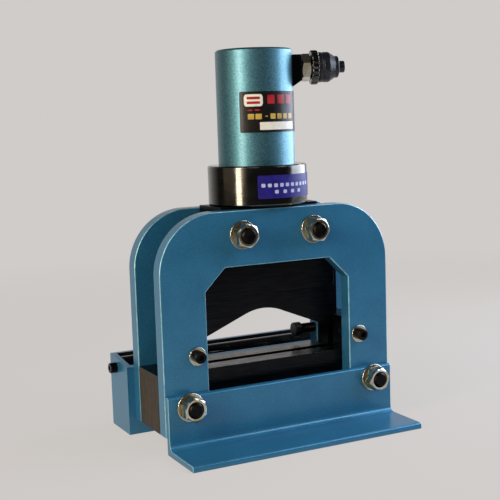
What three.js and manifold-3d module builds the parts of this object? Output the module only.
// Hydraulic busbar cutter: a single-acting ram between two tied frame plates drives an arched
// blade down into a slotted base block. Millimetres, +Z up, -Y is the front, X runs across the plates.
import * as THREE from 'three';
import { mergeVertices } from 'three/addons/utils/BufferGeometryUtils.js';
import Module from 'manifold-3d';

const wasm = await Module();
wasm.setup();

// Fits
const seat = 0.05; // left between faces that are clamped together
const boltPlay = 0.3; // radial play of a screw in its hole
const runPlay = 0.3; // play round a piece that turns or slides
const overrun = 2; // how far a cutting solid passes the face it cuts

// Facets of round shapes
const barrelSides = 40;
const shaftSides = 20;
const tieSides = 16;
const screwSides = 12;
const arcSteps = 8;

// Frame plates
const plateWidth = 282;
const plateThick = 17.25;
const plateBottom = 18;
const plateTop = 254;
const plateCornerRadius = 65;
const plateGap = 56;
const plateEdge = 0.8;
const windowWidth = 178;
const windowSill = 56;
const windowTop = 193.5;
const windowChamfer = 24;

// Foot angle at the front
const angleLength = 280;
const angleLegHeight = 62.75;
const angleReach = 66.75;
const angleThick = 6.6;
const angleFillet = 7;
const angleToeRadius = 3;

// Trough behind, with its support roller
const troughLength = 298;
const troughDepth = 55.85;
const troughWall = 6;
const troughBackHeight = 84.5;
const troughFrontHeight = 78;
const rollerRadius = 12;
const rollerFromBack = 19.1;
const rollerHeight = 71;
const axleRadius = 4;
const axleHeadRadius = 6;
const axleHeadLength = 8;
const axleNutFlats = 13;
const axleNutHeight = 6.5;

// Base block and lower blades
const baseLift = 0.5; // the block's underside above the plates' bottom edges
const baseTop = 82;
const slotLength = 197;
const slotWidth = 11;
const slotFloor = 40;
const lowerBladeLength = 181;
const lowerBladeThick = 12;
const lowerBladeTop = 82.5;
const lowerScrewSpan = 120;
const lowerScrewBite = 8; // into the blade
const counterboreDepth = 10;

// Blade guides
const guideGrip = 6.5; // of the blade's end inside each guide
const guideWidth = 24;
const guideTop = 120;
const guideBoss = 2;
const guideBossRadius = 15;
const guideScrewInset = 10.5; // from the guide's inner face
const guideScrewZ = 102;
const guideScrewReach = 18;

// Ram: blade, holder, rod and piston at the top of the stroke
const bladeWidth = 195;
const bladeThick = 10;
const bladeCornerZ = 103;
const bladeCornerFlat = 3;
const archRise = 34;
const archApexRadius = 60;
const bladeTop = 183;
const holderWidth = 180;
const holderDepth = 24;
const holderBottom = 156;
const holderTop = 203;
const bladeScrewSpan = 90;
const bladeScrewZ = 170;
const bladeScrewHead = 5.5;
const holderWall = 3; // left in front of the blade screws
const rodRadius = 18;
const rodSpigotRadius = 10;
const rodSpigotLength = 16;
const rodNoseRadius = 12;
const pistonBelowTop = 49; // from the barrel's top to the piston's underside
const pistonHeight = 22;
const sealHeight = 6;
const sealDepth = 4;

// Cylinder, collar and top block
const barrelRadius = 43;
const barrelWall = 13;
const barrelTop = 427;
const barrelCap = 12;
const barrelChamfer = 2;
const collarWall = 12.75; // outside the barrel
const collarHeight = 43.75;
const collarFloor = 11.5;
const collarChamfer = 1.5;
const neckRadius = 26;
const neckLength = 16.5;
const guideBushRadius = 23;
const guideBushFlange = 4;
const guideBushLength = 18;
const wiperRadius = 22.5;
const wiperHeight = 6;
const wiperLift = 3;
const rodClearRadius = 19;
const topBlockWidth = 120;
const topBlockBottom = 204;
const topBlockProud = 2.6; // above the plates' top edges
const springWireShare = 0.18; // the wire's radius, of the space between rod and bore
const springPitch = 12.6;
const springSteps = 10;
const springSides = 5;

// Port, coupler and dust cap, each length measured outwards from the piece before
const portAngle = -20;
const portBelowTop = 21;
const ductRadius = 3;
const bossReach = 9; // outside the barrel
const bossWidth = 30;
const bossAbove = 14;
const bossBelow = 14;
const bossSlope = 9;
const adapterSink = 6; // into the boss
const adapterFlats = 27;
const adapterReach = 10.9;
const adapterShankRadius = 8;
const adapterSocketRadius = 9.3;
const adapterSocketDepth = 7;
const sleeveRadius = 19;
const sleeveReach = 8.5;
const sleeveBore = 15.8;
const sleeveFlutes = 20;
const sleeveFluteDepth = 0.9;
const noseRadius = 13;
const noseReach = 13.6;
const poppetRadius = 4.7;
const poppetLength = 7;
const poppetTravel = 3;
const capRadius = 16.75;
const capShoulderReach = 13.3;
const capTaper = 6.5;
const capWaistRadius = 12;
const capWaistLength = 5;
const capTipRadius = 6.25;
const capTipLength = 5.9;
const capFloorGap = 1.2; // between the nose and the inside of the cap

// Side clamp in the back plate's right column
const clampZ = 98;
const clampPadRadius = 8.25;
const clampPadFace = 61;
const clampPadLength = 8.7;
const clampScrewRadius = 6;
const clampNoseRadius = 4;
const clampNoseLength = 5.7;
const clampKnobRadius = 11;
const clampKnobLength = 14;
const clampKnobSocket = 9;
const clampKnobFlutes = 10;
const clampKnobFluteDepth = 1.2;

// Fasteners
const tieRadius = 8;
const tieHeadFlats = 24;
const tieHeadHeight = 10;
const tieNutHeight = 13;
const tieStub = 2.5; // the thread that stands past the nut
const tieWasherRadius = 15.5;
const tieWasherThick = 3;
const upperTieX = 43.75;
const upperTieZ = 227.75;
const lowerTieX = 115;
const lowerTieZ = 50.25;
const hexChamferShare = 0.09; // of a hexagon's width, turned off at its corners
const smallChamfer = 0.8;
const fluteLandShare = 0.5; // of a flute's pitch that stays round
const fluteRootShare = 0.75; // where its root lies in the pitch
const screwRadius = 4;
const screwHeadRadius = 6.5;
const screwHeadHeight = 8;
const screwSocketRadius = 3.4;
const screwSocketDepth = 4;
const screwWasherRadius = 10;
const screwWasherThick = 2;

// Labels
const labelThick = 0.4;
const labelLift = 0.1;
const cylinderLabelStartAngle = -137;
const cylinderLabelEndAngle = -24;
const cylinderLabelFootShare = 0.431; // of the room between the collar and the port's boss
const cylinderLabelHeadShare = 0.964;
const collarLabelStartAngle = -117;
const collarLabelEndAngle = -24;
const collarLabelFootShare = 0.191; // of the collar's height
const collarLabelHeadShare = 0.762;
const labelSteps = 28;

// Places worked out from the sizes above
const plateInner = plateGap / 2;
const plateOuter = plateInner + plateThick;
const blockFace = plateInner - seat;
const angleBack = -plateOuter - seat;
const angleFront = angleBack - angleThick;
const footTip = angleBack - angleReach;
const troughFace = plateOuter + seat;
const troughBack = troughFace + troughDepth;
const rollerY = troughBack - rollerFromBack;
const rollerHalf = troughLength / 2 - troughWall - runPlay;
const baseBottom = plateBottom + baseLift;
const lowerBladeSeat = lowerBladeTop - lowerBladeThick;
const lowerBladeY = (slotWidth / 2 + blockFace) / 2;
const guideInner = bladeWidth / 2 - guideGrip;
const guideScrewX = guideInner + guideScrewInset;
const boreRadius = barrelRadius - barrelWall;
const collarRadius = barrelRadius + collarWall;
const springRadius = (boreRadius + rodRadius) / 2;
const springWire = (boreRadius - rodRadius) * springWireShare;
const pistonBottom = barrelTop - pistonBelowTop;
const portZ = barrelTop - portBelowTop;
const bossEnd = barrelRadius + bossReach;
const adapterStart = bossEnd - adapterSink;
const adapterEnd = bossEnd + adapterReach;
const sleeveEnd = adapterEnd + sleeveReach;
const noseEnd = sleeveEnd + noseReach;
const capShoulder = sleeveEnd + capShoulderReach;
const capWaist = capShoulder + capTaper;
const capNeckEnd = capWaist + capWaistLength;
const capTip = capNeckEnd + capTipLength;
const capFloor = noseEnd + capFloorGap;
const topBlockTop = plateTop + topBlockProud;
const collarBottom = topBlockTop + seat;
const collarTop = collarBottom + collarHeight;
const barrelBottom = collarBottom + collarFloor + seat;
const bushTop = barrelBottom + guideBushFlange;
const bushBottom = bushTop - guideBushLength;
const neckBottom = collarBottom - neckLength;
const wiperBottom = neckBottom + wiperLift;
const sealBottom = pistonBottom + (pistonHeight - sealHeight) / 2;
const pistonTop = pistonBottom + pistonHeight;
const chamberTop = barrelTop - barrelCap;
const clampY = (plateInner + plateOuter) / 2;
const clampKnobStart = plateWidth / 2 + runPlay;
const labelRoom = portZ - bossBelow - bossSlope - collarTop;
const sleeveStart = adapterEnd + runPlay;
const poppetEnd = noseEnd + runPlay;
const tiePlaces = [
  { name: 'upper_left', x: -upperTieX, z: upperTieZ, front: -plateOuter, rear: plateOuter, turn: 12 },
  { name: 'upper_right', x: upperTieX, z: upperTieZ, front: -plateOuter, rear: plateOuter, turn: 24 },
  { name: 'lower_left', x: -lowerTieX, z: lowerTieZ, front: angleFront, rear: troughFace + troughWall, turn: 5 },
  { name: 'lower_right', x: lowerTieX, z: lowerTieZ, front: angleFront, rear: troughFace + troughWall, turn: 40 },
];
const sides = [
  { name: 'left', sign: -1 },
  { name: 'right', sign: 1 },
];

// Finishes
const finish = (color, roughness, metalness) => new THREE.MeshStandardMaterial({ color, roughness, metalness });
const platePaint = finish(0x3b6d8c, 0.4, 0.3);
const barrelPaint = finish(0x6fa3ad, 0.35, 0.5);
const blackSteel = finish(0x17181a, 0.35, 0.8);
const blackPlastic = finish(0x1b1d22, 0.5, 0);
const millSteel = finish(0x4a3f30, 0.7, 0.5);
const groundSteel = finish(0x9a9a96, 0.3, 1);
const zincSteel = finish(0xc9c7bd, 0.25, 1);
const springSteel = finish(0x6d7075, 0.4, 0.9);
const bronze = finish(0xa77d3c, 0.35, 1);
const sealRubber = finish(0x2b2b2e, 0.6, 0);
const printedBlack = finish(0x14110f, 0.45, 0);
const printedBlue = finish(0x2a2f60, 0.45, 0);

// Turns a closed mesh into a solid that can be cut and joined.
function solid(geometry) {
  const bare = geometry.clone();
  bare.deleteAttribute('normal');
  bare.deleteAttribute('uv');
  const merged = mergeVertices(bare);
  const corners = merged.index.array;
  const kept = [];
  for (let i = 0; i < corners.length; i += 3) {
    const [a, b, c] = corners.slice(i, i + 3);
    if (a !== b && b !== c && c !== a) kept.push(a, b, c);
  }
  const vertProperties = new Float32Array(merged.attributes.position.array);
  const triVerts = new Uint32Array(kept);
  return new wasm.Manifold(new wasm.Mesh({ numProp: 3, vertProperties, triVerts }));
}

const cut = (body, ...tools) => tools.reduce((left, tool) => left.subtract(tool), body);
const join = (body, ...others) => others.reduce((sum, other) => sum.add(other), body);

function piece(name, body, material) {
  const { vertProperties, triVerts } = body.getMesh();
  const geometry = new THREE.BufferGeometry();
  geometry.setAttribute('position', new THREE.BufferAttribute(vertProperties, 3));
  geometry.setIndex(new THREE.BufferAttribute(triVerts, 1));
  geometry.computeVertexNormals();
  const mesh = new THREE.Mesh(geometry, material);
  mesh.name = name;
  return mesh;
}

function group(...members) {
  const holder = new THREE.Group();
  holder.add(...members);
  return holder;
}

// Basic solids. Rods and turned pieces lie on X, Y or Z.
const unitX = new THREE.Vector3(1, 0, 0);
const unitY = new THREE.Vector3(0, 1, 0);
const unitZ = new THREE.Vector3(0, 0, 1);
const upright = {
  x: new THREE.Matrix4().makeBasis(unitY, unitX, unitZ.clone().negate()),
  y: new THREE.Matrix4(),
  z: new THREE.Matrix4().makeBasis(unitX, unitZ, unitY.clone().negate()),
};

function block(x0, x1, y0, y1, z0, z1) {
  const geometry = new THREE.BoxGeometry(x1 - x0, y1 - y0, z1 - z0);
  return solid(geometry.translate((x0 + x1) / 2, (y0 + y1) / 2, (z0 + z1) / 2));
}

function rod(axis, radius, from, to, centre = {}, count = screwSides) {
  const geometry = new THREE.CylinderGeometry(radius, radius, to - from, count);
  geometry.translate(0, (from + to) / 2, 0).applyMatrix4(upright[axis]);
  return solid(geometry.translate(centre.x ?? 0, centre.y ?? 0, centre.z ?? 0));
}

// A profile of [radius, place along the axis] pairs, in anticlockwise order.
function turned(axis, profile, count) {
  const points = profile.map(([radius, along]) => new THREE.Vector2(radius, along));
  const geometry = solidLathe(points, count);
  return solid(geometry.applyMatrix4(upright[axis]));
}

function solidLathe(points, count) {
  const closed = points[0].x === 0 ? points : [...points, points[0]];
  return new THREE.LatheGeometry(closed, count);
}

function extruded(outline, length, edge, steps = arcSteps) {
  const geometry = new THREE.ExtrudeGeometry(outline, {
    depth: length - 2 * edge,
    bevelEnabled: edge > 0,
    bevelThickness: edge,
    bevelSize: edge,
    bevelOffset: -edge,
    bevelSegments: 1,
    curveSegments: steps,
  });
  return geometry.translate(0, 0, edge);
}

// An XZ outline between two depths, and a YZ outline between two widths.
function slab(outline, y0, y1, edge = 0, steps = arcSteps) {
  const geometry = extruded(outline, y1 - y0, edge, steps).rotateX(Math.PI / 2);
  return solid(geometry.translate(0, y1, 0));
}

function bar(outline, x0, x1, edge = 0, steps = arcSteps) {
  const lying = new THREE.Matrix4().makeBasis(unitY, unitZ, unitX);
  const geometry = extruded(outline, x1 - x0, edge, steps).applyMatrix4(lying);
  return solid(geometry.translate(x0, 0, 0));
}

function polygon(points) {
  return new THREE.Shape(points.map(([x, y]) => new THREE.Vector2(x, y)));
}

function ordered(a, b) {
  return a < b ? [a, b] : [b, a];
}

function roundHole(x, y, radius) {
  return new THREE.Path().absarc(x, y, radius, 0, 2 * Math.PI, true);
}

// Frame plates
function windowPath() {
  const half = windowWidth / 2;
  const shoulder = windowTop - windowChamfer;
  const path = new THREE.Path();
  path.moveTo(-half, windowSill);
  path.lineTo(-half, shoulder);
  path.lineTo(-half + windowChamfer, windowTop);
  path.lineTo(half - windowChamfer, windowTop);
  path.lineTo(half, shoulder);
  path.lineTo(half, windowSill);
  path.closePath();
  return path;
}

function plateOutline() {
  const half = plateWidth / 2;
  const arcZ = plateTop - plateCornerRadius;
  const outline = new THREE.Shape();
  outline.moveTo(-half, plateBottom);
  outline.lineTo(half, plateBottom);
  outline.absarc(half - plateCornerRadius, arcZ, plateCornerRadius, 0, Math.PI / 2, false);
  outline.absarc(plateCornerRadius - half, arcZ, plateCornerRadius, Math.PI / 2, Math.PI, false);
  outline.closePath();
  outline.holes.push(windowPath());
  for (const { x, z } of tiePlaces) outline.holes.push(roundHole(x, z, tieRadius + boltPlay));
  return outline;
}

function frontPlate() {
  const plate = slab(plateOutline(), -plateOuter, -plateInner, plateEdge);
  const holes = sides.map(({ sign }) => rod(
    'y', screwRadius + boltPlay, -plateOuter - overrun, overrun - plateInner,
    { x: sign * guideScrewX, z: guideScrewZ },
  ));
  return cut(plate, ...holes);
}

function backPlate() {
  const plate = slab(plateOutline(), plateInner, plateOuter, plateEdge);
  const hole = rod('x', clampScrewRadius + boltPlay, 0, plateWidth, { y: clampY, z: clampZ }, shaftSides);
  return cut(plate, hole);
}

function tieHole(x, z, y0, y1) {
  return rod('y', tieRadius + boltPlay, y0 - overrun, y1 + overrun, { x, z }, tieSides);
}

// Foot angle and trough
function footAngle() {
  const outline = new THREE.Shape();
  outline.moveTo(footTip, 0);
  outline.lineTo(angleBack, 0);
  outline.lineTo(angleBack, angleLegHeight);
  outline.lineTo(angleFront + angleToeRadius, angleLegHeight);
  outline.absarc(
    angleFront + angleToeRadius, angleLegHeight - angleToeRadius, angleToeRadius, Math.PI / 2, Math.PI, false,
  );
  outline.absarc(angleFront - angleFillet, angleThick + angleFillet, angleFillet, 0, -Math.PI / 2, true);
  outline.absarc(footTip + angleToeRadius, angleThick - angleToeRadius, angleToeRadius, Math.PI / 2, Math.PI, false);
  outline.closePath();
  const angle = bar(outline, -angleLength / 2, angleLength / 2, plateEdge, arcSteps / 4);
  const holes = sides.map(({ sign }) => tieHole(sign * lowerTieX, lowerTieZ, angleFront, angleBack));
  return cut(angle, ...holes);
}

function rearTrough() {
  const outer = polygon([
    [troughFace, 0],
    [troughBack, 0],
    [troughBack, troughBackHeight],
    [troughBack - troughWall, troughBackHeight],
    [troughFace, troughFrontHeight],
  ]);
  const half = troughLength / 2;
  const cavity = block(
    troughWall - half, half - troughWall, troughFace + troughWall, troughBack - troughWall,
    troughWall, troughBackHeight + overrun,
  );
  const wallBack = troughFace + troughWall;
  const boltHoles = sides.map(({ sign }) => tieHole(sign * lowerTieX, lowerTieZ, troughFace, wallBack));
  const axleHole = rod('x', axleRadius + boltPlay, -half - overrun, half + overrun, { y: rollerY, z: rollerHeight });
  return cut(bar(outer, -half, half), cavity, axleHole, ...boltHoles);
}

function roller() {
  const edge = plateEdge;
  const bore = axleRadius + runPlay;
  return turned('x', [
    [bore, -rollerHalf],
    [rollerRadius - edge, -rollerHalf],
    [rollerRadius, edge - rollerHalf],
    [rollerRadius, rollerHalf - edge],
    [rollerRadius - edge, rollerHalf],
    [bore, rollerHalf],
  ], shaftSides);
}

function rollerAxle() {
  const outside = troughLength / 2 + seat;
  const end = outside + axleHeadLength;
  return turned('x', [
    [0, screwSocketDepth - end],
    [screwSocketRadius, screwSocketDepth - end],
    [screwSocketRadius, -end],
    [axleHeadRadius - plateEdge, -end],
    [axleHeadRadius, plateEdge - end],
    [axleHeadRadius, -outside],
    [axleRadius, -outside],
    [axleRadius, end],
    [0, end],
  ], screwSides);
}

// Hexagon along an axis, with its corners turned off and a bore if one is given
function hexagon(axis, flats, from, to, bore = 0) {
  const corner = flats / 2 / Math.cos(Math.PI / 6);
  const inset = flats * hexChamferShare;
  const turning = turned(axis, [
    [0, from],
    [corner - inset, from],
    [corner, from + inset / 2],
    [corner, to - inset / 2],
    [corner - inset, to],
    [0, to],
  ], screwSides);
  const shaped = rod(axis, corner, from, to, {}, 6).intersect(turning);
  return bore > 0 ? cut(shaped, rod(axis, bore, from - overrun, to + overrun, {}, tieSides)) : shaped;
}

function washer(axis, radius, thick, bore) {
  return turned(axis, [
    [bore, 0],
    [radius, 0],
    [radius, thick],
    [bore, thick],
  ], tieSides);
}

// Socket head screw along Y: its head stands behind zero and its shank runs forward.
function socketScrew(axis, length, headHeight = screwHeadHeight) {
  return turned(axis, [
    [0, -length],
    [screwRadius, -length],
    [screwRadius, 0],
    [screwHeadRadius, 0],
    [screwHeadRadius, headHeight - plateEdge],
    [screwHeadRadius - plateEdge, headHeight],
    [screwSocketRadius, headHeight],
    [screwSocketRadius, headHeight - screwSocketDepth],
    [0, headHeight - screwSocketDepth],
  ], screwSides);
}

// Tie bolts: head and washer behind, washer and nut in front
function tieSet({ name, x, z, front, rear, turn }) {
  const turnAngle = THREE.MathUtils.degToRad(turn);
  const headSeat = rear + tieWasherThick + 2 * seat;
  const nutSeat = front - tieWasherThick - 2 * seat;
  const stubEnd = nutSeat - tieNutHeight - tieStub;
  const shank = rod('y', tieRadius, stubEnd - headSeat, seat, {}, tieSides);
  const bolt = piece(`tie_bolt_${name}`, join(hexagon('y', tieHeadFlats, 0, tieHeadHeight), shank), zincSteel);
  bolt.position.y = headSeat;
  const bore = tieRadius + boltPlay;
  const nut = piece(`tie_nut_${name}`, hexagon('y', tieHeadFlats, 0, tieNutHeight, bore), zincSteel);
  nut.position.y = nutSeat - tieNutHeight;
  nut.rotation.y = turnAngle;
  const ring = washer('y', tieWasherRadius, tieWasherThick, bore);
  const headWasher = piece(`head_washer_${name}`, ring, zincSteel);
  headWasher.position.y = rear + seat;
  const nutWasher = piece(`nut_washer_${name}`, ring, zincSteel);
  nutWasher.position.y = front - seat - tieWasherThick;
  const set = group(bolt, headWasher, nutWasher, nut);
  set.position.set(x, 0, z);
  return set;
}

// Base block with a slot for the blade and a rebate for the two lower blades
function baseBlock() {
  const half = plateWidth / 2;
  const body = block(-half, half, -blockFace, blockFace, baseBottom, baseTop);
  const rebateHalf = lowerBladeLength / 2 + boltPlay;
  const rebateFloor = lowerBladeSeat - seat;
  const rebate = block(
    -rebateHalf, rebateHalf, -plateInner - overrun, plateInner + overrun, rebateFloor, baseTop + overrun,
  );
  const slot = block(
    -slotLength / 2, slotLength / 2, -slotWidth / 2, slotWidth / 2, slotFloor, baseTop + overrun,
  );
  const boltHoles = sides.map(({ sign }) => tieHole(sign * lowerTieX, lowerTieZ, -plateInner, plateInner));
  const screwHoles = lowerScrewPlaces().flatMap(({ x, y }) => [
    rod('z', screwRadius + boltPlay, baseBottom - overrun, baseTop, { x, y }),
    rod('z', screwHeadRadius + boltPlay, baseBottom - overrun, baseBottom + counterboreDepth, { x, y }),
  ]);
  return cut(body, rebate, slot, ...boltHoles, ...screwHoles);
}

function lowerScrewPlaces() {
  return [-1, 1].flatMap((row) => sides.map(({ name, sign }) => (
    { name: `${row < 0 ? 'front' : 'rear'}_${name}`, x: sign * lowerScrewSpan / 2, y: row * lowerBladeY }
  )));
}

function lowerBlade(row) {
  const half = lowerBladeLength / 2;
  const [near, far] = ordered(row * slotWidth / 2, row * blockFace);
  const body = block(-half, half, near, far, lowerBladeSeat, lowerBladeTop);
  const holeTop = lowerBladeSeat + lowerScrewBite + boltPlay;
  const holes = lowerScrewPlaces().filter(({ y }) => Math.sign(y) === row).map(({ x, y }) => rod(
    'z', screwRadius + boltPlay, lowerBladeSeat - overrun, holeTop, { x, y },
  ));
  return cut(body, ...holes);
}

function lowerScrew({ name, x, y }) {
  const headSeat = baseBottom + counterboreDepth - seat;
  const length = lowerBladeSeat + lowerScrewBite - headSeat;
  const screw = piece(`lower_blade_screw_${name}`, socketScrew('z', length), blackSteel);
  screw.rotation.x = Math.PI;
  screw.position.set(x, y, headSeat);
  return screw;
}

// Guides for the blade's ends, each with a turned boss that bears on the front plate
function guide({ name, sign }) {
  const front = guideBoss - blockFace;
  const floor = lowerBladeTop + seat;
  const [near, far] = ordered(sign * guideInner, sign * (guideInner + guideWidth));
  const body = block(near, far, front, blockFace, floor, guideTop);
  const centre = { x: sign * guideScrewX, z: guideScrewZ };
  const boss = rod('y', guideBossRadius, -blockFace, front + seat, centre, shaftSides);
  const [grooveFrom, grooveTo] = ordered(
    sign * (guideInner - guideBossRadius), sign * (bladeWidth / 2 + 2 * runPlay),
  );
  const grooveHalf = bladeThick / 2 + runPlay;
  const groove = block(grooveFrom, grooveTo, -grooveHalf, grooveHalf, floor - overrun, guideTop + overrun);
  const hole = rod(
    'y', screwRadius + boltPlay, -plateInner - overrun, front + guideScrewReach + boltPlay, centre,
  );
  return piece(`guide_${name}`, cut(join(body, boss), groove, hole), millSteel);
}

function guideFastening({ name, sign }) {
  const washerSeat = -plateOuter - seat - screwWasherThick;
  const ring = washer('y', screwWasherRadius, screwWasherThick, screwRadius + boltPlay);
  const washerMesh = piece(`guide_washer_${name}`, ring, zincSteel);
  washerMesh.position.y = washerSeat;
  const headSeat = washerSeat - seat;
  const length = guideBoss - blockFace + guideScrewReach - headSeat;
  const screw = piece(`guide_screw_${name}`, socketScrew('y', length), blackSteel);
  screw.rotation.z = Math.PI;
  screw.position.y = headSeat;
  const fastening = group(washerMesh, screw);
  fastening.position.set(sign * guideScrewX, 0, guideScrewZ);
  return fastening;
}

// Ram: arched blade in its holder, on the rod of a spring-returned piston
function bladeOutline() {
  const half = bladeWidth / 2;
  const foot = half - bladeCornerFlat;
  const drop = archApexRadius - archRise;
  const flank = Math.atan2(foot, drop) - Math.acos(archApexRadius / Math.hypot(foot, drop));
  const outline = new THREE.Shape();
  outline.moveTo(-half, bladeCornerZ);
  outline.lineTo(-foot, bladeCornerZ);
  outline.absarc(0, bladeCornerZ - drop, archApexRadius, Math.PI / 2 + flank, Math.PI / 2 - flank, true);
  outline.lineTo(foot, bladeCornerZ);
  outline.lineTo(half, bladeCornerZ);
  outline.lineTo(half, bladeTop);
  outline.lineTo(-half, bladeTop);
  outline.closePath();
  for (const { sign } of sides) {
    outline.holes.push(roundHole(sign * bladeScrewSpan / 2, bladeScrewZ, screwRadius + boltPlay));
  }
  return outline;
}

function upperBlade() {
  return slab(bladeOutline(), -bladeThick / 2, bladeThick / 2);
}

function bladeHolder() {
  const half = holderWidth / 2;
  const depth = holderDepth / 2;
  const body = block(-half, half, -depth, depth, holderBottom, holderTop);
  const slotHalf = bladeThick / 2 + boltPlay;
  const slot = block(
    -half - overrun, half + overrun, -slotHalf, slotHalf, holderBottom - overrun, bladeTop + boltPlay,
  );
  const spigotFloor = holderTop - rodSpigotLength - boltPlay;
  const spigotHole = rod('z', rodSpigotRadius + boltPlay, spigotFloor, holderTop + overrun, {}, shaftSides);
  const screwHoles = sides.map(({ sign }) => rod(
    'y', screwRadius + boltPlay, holderWall - depth, depth + overrun,
    { x: sign * bladeScrewSpan / 2, z: bladeScrewZ },
  ));
  return cut(body, slot, spigotHole, ...screwHoles);
}

function bladeScrew({ name, sign }) {
  const length = holderDepth - holderWall - boltPlay + seat;
  const screw = piece(`blade_screw_${name}`, socketScrew('y', length, bladeScrewHead), blackSteel);
  screw.position.set(sign * bladeScrewSpan / 2, holderDepth / 2 + seat, bladeScrewZ);
  return screw;
}

function pistonRod() {
  return turned('z', [
    [0, holderTop - rodSpigotLength],
    [rodSpigotRadius, holderTop - rodSpigotLength],
    [rodSpigotRadius, holderTop + seat],
    [rodRadius, holderTop + seat],
    [rodRadius, pistonBottom - seat],
    [rodNoseRadius, pistonBottom - seat],
    [rodNoseRadius, pistonTop],
    [0, pistonTop],
  ], shaftSides);
}

function piston() {
  const radius = boreRadius - runPlay;
  const bore = rodNoseRadius + boltPlay;
  return turned('z', [
    [bore, pistonBottom],
    [radius, pistonBottom],
    [radius, sealBottom],
    [radius - sealDepth, sealBottom],
    [radius - sealDepth, sealBottom + sealHeight],
    [radius, sealBottom + sealHeight],
    [radius, pistonTop],
    [bore, pistonTop],
  ], shaftSides);
}

function pistonSeal() {
  const inner = boreRadius - runPlay - sealDepth + boltPlay;
  const outer = boreRadius - runPlay / 2;
  return turned('z', [
    [inner, sealBottom + boltPlay],
    [outer, sealBottom + boltPlay],
    [outer, sealBottom + sealHeight - boltPlay],
    [inner, sealBottom + sealHeight - boltPlay],
  ], shaftSides);
}

function returnSpring() {
  const from = bushTop + runPlay + springWire;
  const rise = pistonBottom - runPlay - springWire - from;
  const rings = Math.round(rise / springPitch) * springSteps;
  const positions = [];
  const faces = [];
  for (let ring = 0; ring <= rings; ring += 1) {
    const angle = (2 * Math.PI * ring) / springSteps;
    for (let side = 0; side < springSides; side += 1) {
      const round = (2 * Math.PI * side) / springSides;
      const reach = springRadius + springWire * Math.cos(round);
      const z = from + (rise * ring) / rings + springWire * Math.sin(round);
      positions.push(reach * Math.cos(angle), reach * Math.sin(angle), z);
    }
  }
  const corner = (ring, side) => ring * springSides + (side % springSides);
  for (let ring = 0; ring < rings; ring += 1) {
    for (let side = 0; side < springSides; side += 1) {
      const [a, b] = [corner(ring, side), corner(ring + 1, side)];
      const [c, d] = [corner(ring + 1, side + 1), corner(ring, side + 1)];
      faces.push(a, b, c, a, c, d);
    }
  }
  for (let side = 1; side < springSides - 1; side += 1) {
    faces.push(corner(0, 0), corner(0, side), corner(0, side + 1));
    faces.push(corner(rings, 0), corner(rings, side + 1), corner(rings, side));
  }
  const geometry = new THREE.BufferGeometry();
  geometry.setAttribute('position', new THREE.Float32BufferAttribute(positions, 3));
  geometry.setIndex(faces);
  return solid(geometry);
}

// Cylinder: barrel, rod guide and wiper, collar and top block
function cylinderBarrel() {
  const body = turned('z', [
    [boreRadius, barrelBottom],
    [barrelRadius, barrelBottom],
    [barrelRadius, barrelTop - barrelChamfer],
    [barrelRadius - barrelChamfer, barrelTop],
    [0, barrelTop],
    [0, chamberTop],
    [boreRadius, chamberTop],
  ], barrelSides);
  return cut(body, rod('x', ductRadius, 0, barrelRadius + overrun, { z: portZ }));
}

function collar() {
  const guideBore = guideBushRadius + boltPlay;
  const grooveRadius = wiperRadius + boltPlay;
  return turned('z', [
    [rodClearRadius, neckBottom],
    [neckRadius, neckBottom],
    [neckRadius, collarBottom],
    [collarRadius - collarChamfer, collarBottom],
    [collarRadius, collarBottom + collarChamfer],
    [collarRadius, collarTop - collarChamfer],
    [collarRadius - collarChamfer, collarTop],
    [barrelRadius + boltPlay, collarTop],
    [barrelRadius + boltPlay, barrelBottom - seat],
    [guideBore, barrelBottom - seat],
    [guideBore, bushBottom - boltPlay],
    [rodClearRadius, bushBottom - boltPlay],
    [rodClearRadius, wiperBottom + wiperHeight],
    [grooveRadius, wiperBottom + wiperHeight],
    [grooveRadius, wiperBottom],
    [rodClearRadius, wiperBottom],
  ], barrelSides);
}

function rodGuide() {
  const bore = rodRadius + runPlay;
  return turned('z', [
    [bore, bushBottom],
    [guideBushRadius, bushBottom],
    [guideBushRadius, barrelBottom],
    [boreRadius - boltPlay, barrelBottom],
    [boreRadius - boltPlay, bushTop],
    [bore, bushTop],
  ], shaftSides);
}

function rodWiper() {
  const bore = rodRadius + runPlay;
  return turned('z', [
    [bore, wiperBottom + boltPlay],
    [wiperRadius, wiperBottom + boltPlay],
    [wiperRadius, wiperBottom + wiperHeight - boltPlay],
    [bore, wiperBottom + wiperHeight - boltPlay],
  ], shaftSides);
}

function topBlock() {
  const half = topBlockWidth / 2;
  const body = block(-half, half, -blockFace, blockFace, topBlockBottom, topBlockTop);
  const rodHole = rod('z', rodClearRadius, topBlockBottom - overrun, topBlockTop + overrun, {}, shaftSides);
  const neckHole = rod('z', neckRadius + boltPlay, neckBottom - boltPlay, topBlockTop + overrun, {}, barrelSides);
  const tieHoles = sides.map(({ sign }) => tieHole(sign * upperTieX, upperTieZ, -plateInner, plateInner));
  return cut(body, rodHole, neckHole, ...tieHoles);
}

function curvedLabel(radius, fromDegrees, toDegrees, bottom, top) {
  const [from, to] = [fromDegrees, toDegrees].map(THREE.MathUtils.degToRad);
  const inner = radius + labelLift;
  const outline = new THREE.Shape();
  outline.absarc(0, 0, inner + labelThick, from, to, false);
  outline.absarc(0, 0, inner, to, from, true);
  outline.closePath();
  return solid(extruded(outline, top - bottom, 0, labelSteps / 2).translate(0, 0, bottom));
}

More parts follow.
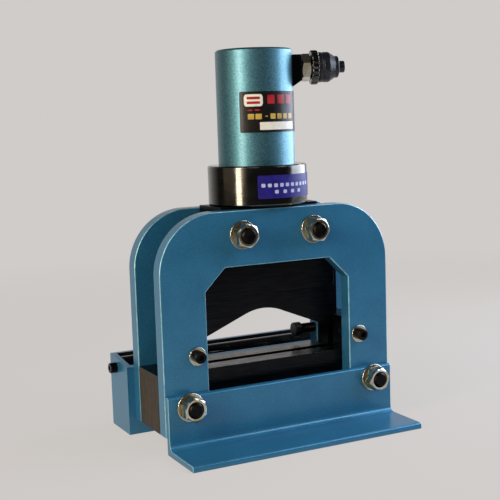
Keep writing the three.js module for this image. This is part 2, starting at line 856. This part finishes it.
// Port, coupler and dust cap, drawn along X and turned to the port's side
function portBoss() {
  const half = bossWidth / 2;
  const root = Math.sqrt(barrelRadius ** 2 - half ** 2) - overrun;
  const outline = polygon([
    [root, -bossBelow - bossSlope],
    [bossEnd, -bossBelow],
    [bossEnd, bossAbove],
    [root, bossAbove],
  ]);
  const above = bossAbove + overrun;
  const below = -bossBelow - 2 * bossSlope;
  return cut(
    slab(outline, -half, half),
    rod('z', barrelRadius + boltPlay, below, above, {}, barrelSides),
    rod('x', ductRadius, root, bossEnd + overrun),
    rod('x', adapterShankRadius + boltPlay, adapterStart - boltPlay, bossEnd + overrun),
  );
}

function portAdapter() {
  const shoulder = bossEnd + boltPlay;
  return cut(
    join(
      hexagon('x', adapterFlats, shoulder, adapterEnd),
      rod('x', adapterShankRadius, adapterStart, shoulder + seat),
    ),
    rod('x', ductRadius, adapterStart - overrun, adapterEnd),
    rod('x', adapterSocketRadius, adapterEnd - adapterSocketDepth, adapterEnd + overrun, {}, shaftSides),
  );
}

function couplerBody() {
  const spigot = adapterSocketRadius - boltPlay;
  const start = adapterEnd - adapterSocketDepth + boltPlay;
  const flange = sleeveBore - runPlay;
  const pocket = poppetRadius + runPlay;
  const pocketFloor = poppetEnd - poppetLength - poppetTravel - boltPlay;
  return turned('x', [
    [ductRadius, start],
    [spigot, start],
    [spigot, sleeveStart],
    [flange, sleeveStart],
    [flange, sleeveEnd],
    [noseRadius, sleeveEnd],
    [noseRadius, noseEnd - smallChamfer],
    [noseRadius - smallChamfer, noseEnd],
    [pocket, noseEnd],
    [pocket, pocketFloor],
    [ductRadius, pocketFloor],
  ], shaftSides);
}

// Round outline with shallow flutes for the fingers, in any cross-section plane
function flutedOutline(radius, flutes, depth, bore) {
  const outline = new THREE.Shape();
  const pitch = (2 * Math.PI) / flutes;
  const at = (reach, angle) => new THREE.Vector2(reach * Math.cos(angle), reach * Math.sin(angle));
  const points = [];
  for (let flute = 0; flute < flutes; flute += 1) {
    points.push(at(radius, flute * pitch));
    points.push(at(radius, (flute + fluteLandShare) * pitch));
    points.push(at(radius - depth, (flute + fluteRootShare) * pitch));
  }
  outline.setFromPoints(points);
  if (bore > 0) outline.holes.push(roundHole(0, 0, bore));
  return outline;
}

function couplerSleeve() {
  const outline = flutedOutline(sleeveRadius, sleeveFlutes, sleeveFluteDepth, sleeveBore);
  return bar(outline, sleeveStart, sleeveEnd, sleeveFluteDepth);
}

function dustCap() {
  const bore = noseRadius + runPlay;
  const start = sleeveEnd + runPlay;
  return turned('x', [
    [bore, start],
    [capRadius - smallChamfer, start],
    [capRadius, start + smallChamfer],
    [capRadius, capShoulder],
    [capWaistRadius, capWaist],
    [capWaistRadius, capNeckEnd - smallChamfer],
    [capWaistRadius - smallChamfer, capNeckEnd],
    [capTipRadius, capNeckEnd],
    [capTipRadius, capTip - smallChamfer],
    [capTipRadius - smallChamfer, capTip],
    [0, capTip],
    [0, capFloor],
    [bore, capFloor],
  ], shaftSides);
}

function portAssembly() {
  const assembly = group(
    piece('port_boss', portBoss(), blackSteel),
    piece('port_adapter', portAdapter(), zincSteel),
    piece('coupler_body', couplerBody(), blackSteel),
    piece('coupler_sleeve', couplerSleeve(), blackSteel),
    piece('coupler_poppet', rod('x', poppetRadius, poppetEnd - poppetLength, poppetEnd), zincSteel),
    piece('dust_cap', dustCap(), blackPlastic),
  );
  assembly.position.z = portZ;
  assembly.rotation.z = THREE.MathUtils.degToRad(portAngle);
  return assembly;
}

// Side clamp, drawn along X from the ram axis
function clampPad() {
  const back = clampPadFace + clampPadLength;
  const pocket = clampNoseRadius + runPlay;
  const pocketFloor = back - clampNoseLength;
  return turned('x', [
    [0, clampPadFace],
    [clampPadRadius - smallChamfer, clampPadFace],
    [clampPadRadius, clampPadFace + smallChamfer],
    [clampPadRadius, back],
    [pocket, back],
    [pocket, pocketFloor],
    [0, pocketFloor],
  ], shaftSides);
}

function clampScrew() {
  const shoulder = clampPadFace + clampPadLength + runPlay;
  const end = clampKnobStart + clampKnobSocket - boltPlay;
  return turned('x', [
    [0, shoulder - clampNoseLength],
    [clampNoseRadius, shoulder - clampNoseLength],
    [clampNoseRadius, shoulder],
    [clampScrewRadius, shoulder],
    [clampScrewRadius, end],
    [0, end],
  ], shaftSides);
}

function clampHandle() {
  const outline = flutedOutline(clampKnobRadius, clampKnobFlutes, clampKnobFluteDepth, 0);
  const knob = bar(outline, clampKnobStart, clampKnobStart + clampKnobLength, smallChamfer);
  const socket = rod(
    'x', clampScrewRadius + boltPlay, clampKnobStart - overrun, clampKnobStart + clampKnobSocket, {}, shaftSides,
  );
  return cut(knob, socket);
}

function clampAssembly() {
  const assembly = group(
    piece('clamp_pad', clampPad(), blackPlastic),
    piece('clamp_screw', clampScrew(), blackSteel),
    piece('clamp_handle', clampHandle(), blackPlastic),
  );
  assembly.position.set(0, clampY, clampZ);
  return assembly;
}

function rollerAssembly() {
  const nutStart = troughLength / 2 + seat;
  const assembly = group(
    piece('roller', roller(), groundSteel),
    piece('roller_axle', rollerAxle(), blackSteel),
    piece(
      'axle_nut',
      hexagon('x', axleNutFlats, nutStart, nutStart + axleNutHeight, axleRadius + boltPlay),
      zincSteel,
    ),
  );
  assembly.position.set(0, rollerY, rollerHeight);
  return assembly;
}

// The whole machine, with its origin on the floor at the centre of its footprint
const machine = group(
  piece('front_plate', frontPlate(), platePaint),
  piece('back_plate', backPlate(), platePaint),
  piece('foot_angle', footAngle(), platePaint),
  piece('rear_trough', rearTrough(), platePaint),
  piece('base_block', baseBlock(), millSteel),
  piece('lower_blade_front', lowerBlade(-1), groundSteel),
  piece('lower_blade_rear', lowerBlade(1), groundSteel),
  ...lowerScrewPlaces().map(lowerScrew),
  ...sides.map(guide),
  ...sides.map(guideFastening),
  ...tiePlaces.map(tieSet),
  piece('top_block', topBlock(), blackSteel),
  piece('upper_blade', upperBlade(), blackSteel),
  piece('blade_holder', bladeHolder(), blackSteel),
  ...sides.map(bladeScrew),
  piece('piston_rod', pistonRod(), groundSteel),
  piece('piston', piston(), groundSteel),
  piece('piston_seal', pistonSeal(), sealRubber),
  piece('return_spring', returnSpring(), springSteel),
  piece('rod_guide', rodGuide(), bronze),
  piece('rod_wiper', rodWiper(), sealRubber),
  piece('collar', collar(), blackSteel),
  piece('cylinder_label', curvedLabel(
    barrelRadius, cylinderLabelStartAngle, cylinderLabelEndAngle,
    collarTop + labelRoom * cylinderLabelFootShare, collarTop + labelRoom * cylinderLabelHeadShare,
  ), printedBlack),
  piece('collar_label', curvedLabel(
    collarRadius, collarLabelStartAngle, collarLabelEndAngle,
    collarBottom + collarHeight * collarLabelFootShare, collarBottom + collarHeight * collarLabelHeadShare,
  ), printedBlue),
  portAssembly(),
  clampAssembly(),
  rollerAssembly(),
);
const barrel = piece('cylinder_barrel', cylinderBarrel(), barrelPaint);
barrel.rotation.z = THREE.MathUtils.degToRad(portAngle);
machine.add(barrel);
machine.position.y = -(footTip + troughBack) / 2;

export default machine;
